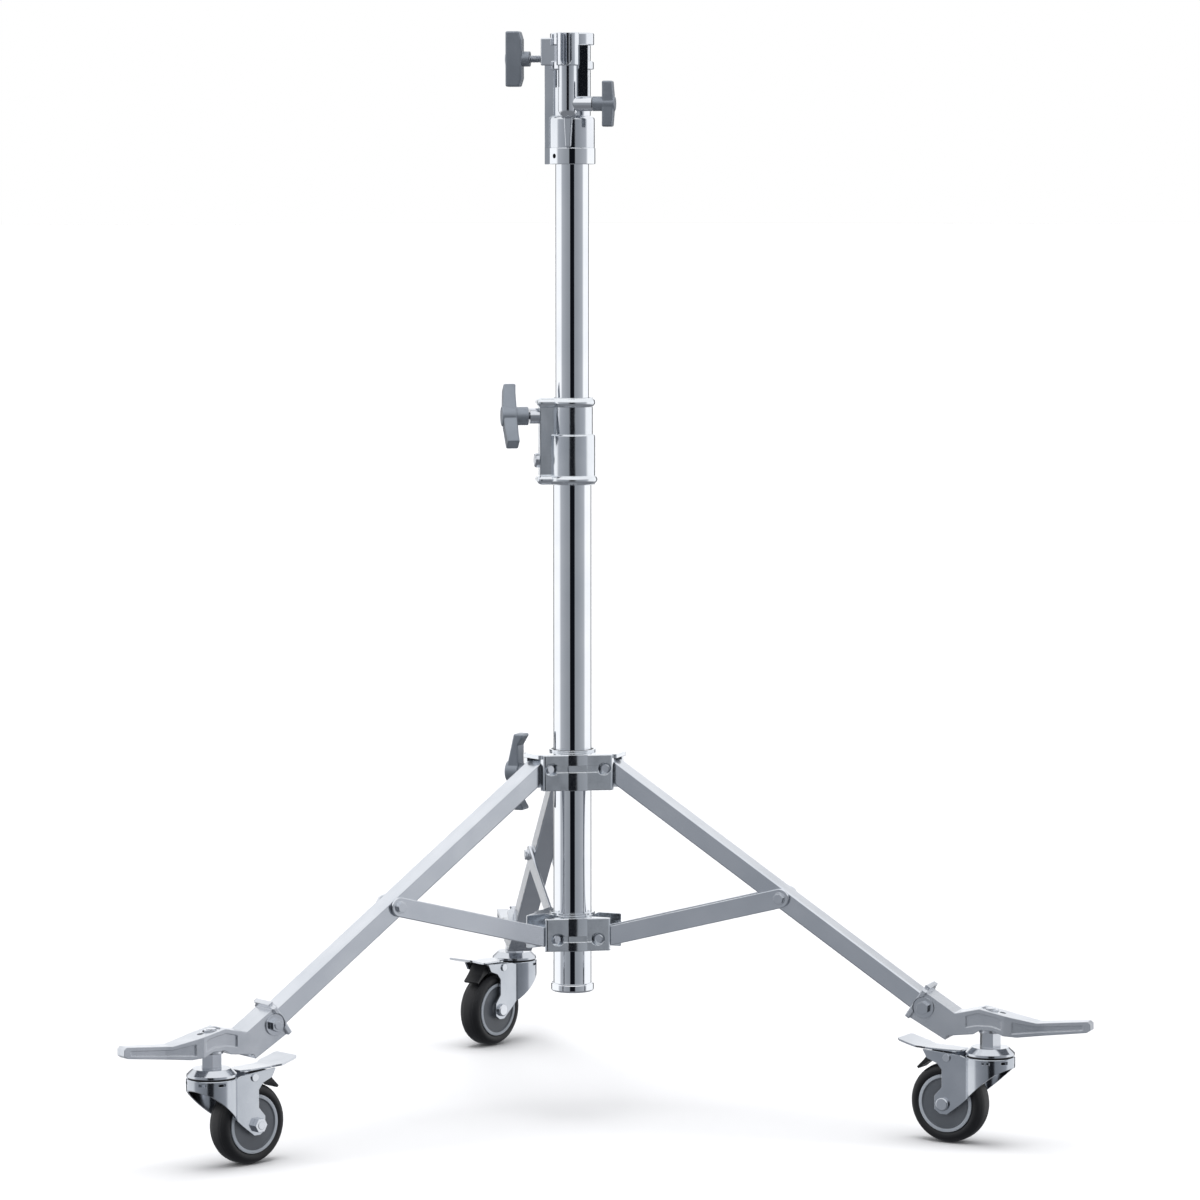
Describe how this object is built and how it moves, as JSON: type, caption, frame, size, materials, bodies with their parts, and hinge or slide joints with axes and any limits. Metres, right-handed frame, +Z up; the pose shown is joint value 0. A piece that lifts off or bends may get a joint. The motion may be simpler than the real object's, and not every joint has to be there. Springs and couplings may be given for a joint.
{
  "type": "wheeled lighting stand",
  "caption": "Low-base folding lighting stand on braked swivel castors, with a telescoping riser, locking T-handles and a combined socket head.",
  "frame": {"origin": "mast axis at floor level, between the three castors", "axes": "+Z up along the mast; +Y towards the back leg; the other two legs point 30 degrees below -X and below +X"},
  "size_m": [0.9802, 0.8488, 1.1309],
  "materials": {
    "chrome": "polished chrome plate",
    "leg_steel": "satin chrome-plated steel tube",
    "cast_metal": "satin cast alloy, bright plated",
    "cast_knob": "satin die-cast alloy",
    "zinc_steel": "zinc-plated pressed steel",
    "black_steel": "blackened screw thread",
    "brass": "turned brass",
    "bush_plastic": "moulded nylon",
    "rubber": "matt moulded rubber",
    "wheel_plastic": "moulded polypropylene",
    "black_plastic": "moulded nylon"
  },
  "bodies": {
    "root": {"base_column": "chrome", "column_foot_cap": "chrome", "lower_collar": "cast_metal", "lower_collar_screws": "black_steel", "brace_pivot_bolts": "zinc_steel", "mid_collar": "chrome", "mid_collar_bush": "bush_plastic", "mid_collar_screw": "zinc_steel", "mid_lock_insert": "zinc_steel", "mid_lock_shoe": "brass"},
    "mid_lock_knob": {"mid_lock_grip": "cast_knob", "mid_lock_stud": "black_steel"},
    "riser_guide": {"riser_guide_bush": "bush_plastic"},
    "riser": {"riser_tube": "chrome", "riser_foot_plug": "zinc_steel", "riser_ferrule": "chrome", "riser_ferrule_screw": "black_steel", "head_casting": "chrome"},
    "junior_lock_knob": {"junior_lock_grip": "cast_knob", "junior_lock_stud": "black_steel"},
    "baby_lock_knob": {"baby_lock_grip": "cast_knob", "baby_lock_stud": "black_steel"},
    "upper_collar": {"upper_collar": "cast_metal", "upper_collar_bush": "bush_plastic", "leg_pivot_bolts": "zinc_steel", "collar_lock_insert": "zinc_steel", "collar_lock_shoe": "brass"},
    "collar_lock_knob": {"collar_lock_grip": "cast_knob", "collar_lock_stud": "black_steel"},
    "leg_back": {"leg_tube_back": "leg_steel", "toe_back": "cast_metal", "leg_hardware_back": "zinc_steel"},
    "brace_back": {"brace_back": "leg_steel"},
    "castor_back": {"fork_back": "zinc_steel", "fork_axle_back": "zinc_steel"},
    "brake_back": {"brake_lever_back": "zinc_steel", "brake_shoe_back": "black_plastic"},
    "wheel_back": {"tyre_back": "rubber", "wheel_hub_back": "wheel_plastic"},
    "leg_left": {"leg_tube_left": "leg_steel", "toe_left": "cast_metal", "leg_hardware_left": "zinc_steel"},
    "brace_left": {"brace_left": "leg_steel"},
    "castor_left": {"fork_left": "zinc_steel", "fork_axle_left": "zinc_steel"},
    "brake_left": {"brake_lever_left": "zinc_steel", "brake_shoe_left": "black_plastic"},
    "wheel_left": {"tyre_left": "rubber", "wheel_hub_left": "wheel_plastic"},
    "leg_right": {"leg_tube_right": "leg_steel", "toe_right": "cast_metal", "leg_hardware_right": "zinc_steel"},
    "brace_right": {"brace_right": "leg_steel"},
    "castor_right": {"fork_right": "zinc_steel", "fork_axle_right": "zinc_steel"},
    "brake_right": {"brake_lever_right": "zinc_steel", "brake_shoe_right": "black_plastic"},
    "wheel_right": {"tyre_right": "rubber", "wheel_hub_right": "wheel_plastic"}
  },
  "joints": [
    {"name": "collar_slide", "type": "slide", "parent": "root", "child": "upper_collar", "axis": [0, 0, 1], "range_m": [0, 0.235]},
    {"name": "riser_slide", "type": "slide", "parent": "root", "child": "riser_guide", "axis": [0, 0, 1], "range_m": [0, 0.515]},
    {"name": "riser_turn", "type": "hinge", "parent": "riser_guide", "child": "riser", "pos_m": [0, 0, 0.16574], "axis": [0, 0, 1], "continuous": true},
    {"name": "mid_lock_turn", "type": "hinge", "parent": "root", "child": "mid_lock_knob", "pos_m": [-0.06, 0, 0.73424], "axis": [-1, 0, 0], "range_deg": [-540, 0]},
    {"name": "junior_lock_turn", "type": "hinge", "parent": "riser", "child": "junior_lock_knob", "pos_m": [-0.04761, 0.01528, 1.10244], "axis": [-0.9521, 0.3057, 0], "range_deg": [-540, 0]},
    {"name": "baby_lock_turn", "type": "hinge", "parent": "riser", "child": "baby_lock_knob", "pos_m": [0.02031, -0.03488, 1.05584], "axis": [0.9521, -0.3057, 0], "range_deg": [-540, 0]},
    {"name": "collar_lock_turn", "type": "hinge", "parent": "upper_collar", "child": "collar_lock_knob", "pos_m": [-0.04763, 0.0275, 0.35999], "axis": [-0.866, 0.5, 0], "range_deg": [-540, 0]},
    {"name": "leg_fold_back", "type": "hinge", "parent": "upper_collar", "child": "leg_back", "pos_m": [0, 0.0435, 0.36949], "axis": [-1, 0, 0], "range_deg": [0, 41.38]},
    {"name": "brace_fold_back", "type": "hinge", "parent": "root", "child": "brace_back", "pos_m": [0, 0.0373, 0.19124], "axis": [1, 0, 0], "range_deg": [0, 56.48]},
    {"name": "castor_swivel_back", "type": "hinge", "parent": "leg_back", "child": "castor_back", "pos_m": [0, 0.45601, 0.092], "axis": [0, 0, 1], "continuous": true},
    {"name": "wheel_spin_back", "type": "hinge", "parent": "castor_back", "child": "wheel_back", "pos_m": [-0.03254, 0.42566, 0.041], "axis": [0.682, -0.7314, 0], "continuous": true},
    {"name": "brake_press_back", "type": "hinge", "parent": "castor_back", "child": "brake_back", "pos_m": [-0.02962, 0.42839, 0.089], "axis": [0.682, -0.7314, 0], "range_deg": [0, 6.5]},
    {"name": "leg_fold_left", "type": "hinge", "parent": "upper_collar", "child": "leg_left", "pos_m": [-0.03767, -0.02175, 0.36949], "axis": [0.5, -0.866, 0], "range_deg": [0, 41.38]},
    {"name": "brace_fold_left", "type": "hinge", "parent": "root", "child": "brace_left", "pos_m": [-0.0323, -0.01865, 0.19124], "axis": [-0.5, 0.866, 0], "range_deg": [0, 56.48]},
    {"name": "castor_swivel_left", "type": "hinge", "parent": "leg_left", "child": "castor_left", "pos_m": [-0.39492, -0.22801, 0.092], "axis": [0, 0, 1], "continuous": true},
    {"name": "wheel_spin_left", "type": "hinge", "parent": "castor_left", "child": "wheel_left", "pos_m": [-0.35847, -0.20248, 0.041], "axis": [-0.5736, 0.8192, 0], "continuous": true},
    {"name": "brake_press_left", "type": "hinge", "parent": "castor_left", "child": "brake_left", "pos_m": [-0.36174, -0.20478, 0.089], "axis": [-0.5736, 0.8192, 0], "range_deg": [0, 6.5]},
    {"name": "leg_fold_right", "type": "hinge", "parent": "upper_collar", "child": "leg_right", "pos_m": [0.03767, -0.02175, 0.36949], "axis": [0.5, 0.866, 0], "range_deg": [0, 41.38]},
    {"name": "brace_fold_right", "type": "hinge", "parent": "root", "child": "brace_right", "pos_m": [0.0323, -0.01865, 0.19124], "axis": [-0.5, -0.866, 0], "range_deg": [0, 56.48]},
    {"name": "castor_swivel_right", "type": "hinge", "parent": "leg_right", "child": "castor_right", "pos_m": [0.39492, -0.22801, 0.092], "axis": [0, 0, 1], "continuous": true},
    {"name": "wheel_spin_right", "type": "hinge", "parent": "castor_right", "child": "wheel_right", "pos_m": [0.36034, -0.2, 0.041], "axis": [-0.6293, -0.7771, 0], "continuous": true},
    {"name": "brake_press_right", "type": "hinge", "parent": "castor_right", "child": "brake_right", "pos_m": [0.36345, -0.20252, 0.089], "axis": [-0.6293, -0.7771, 0], "range_deg": [0, 6.5]}
  ],
  "couplings": [
    {"joint": "leg_fold_back", "follows": "collar_slide", "rad_per_m": 3.0725},
    {"joint": "brace_fold_back", "follows": "collar_slide", "rad_per_m": 4.1937},
    {"joint": "leg_fold_left", "follows": "collar_slide", "rad_per_m": 3.0725},
    {"joint": "brace_fold_left", "follows": "collar_slide", "rad_per_m": 4.1937},
    {"joint": "leg_fold_right", "follows": "collar_slide", "rad_per_m": 3.0725},
    {"joint": "brace_fold_right", "follows": "collar_slide", "rad_per_m": 4.1937}
  ]
}
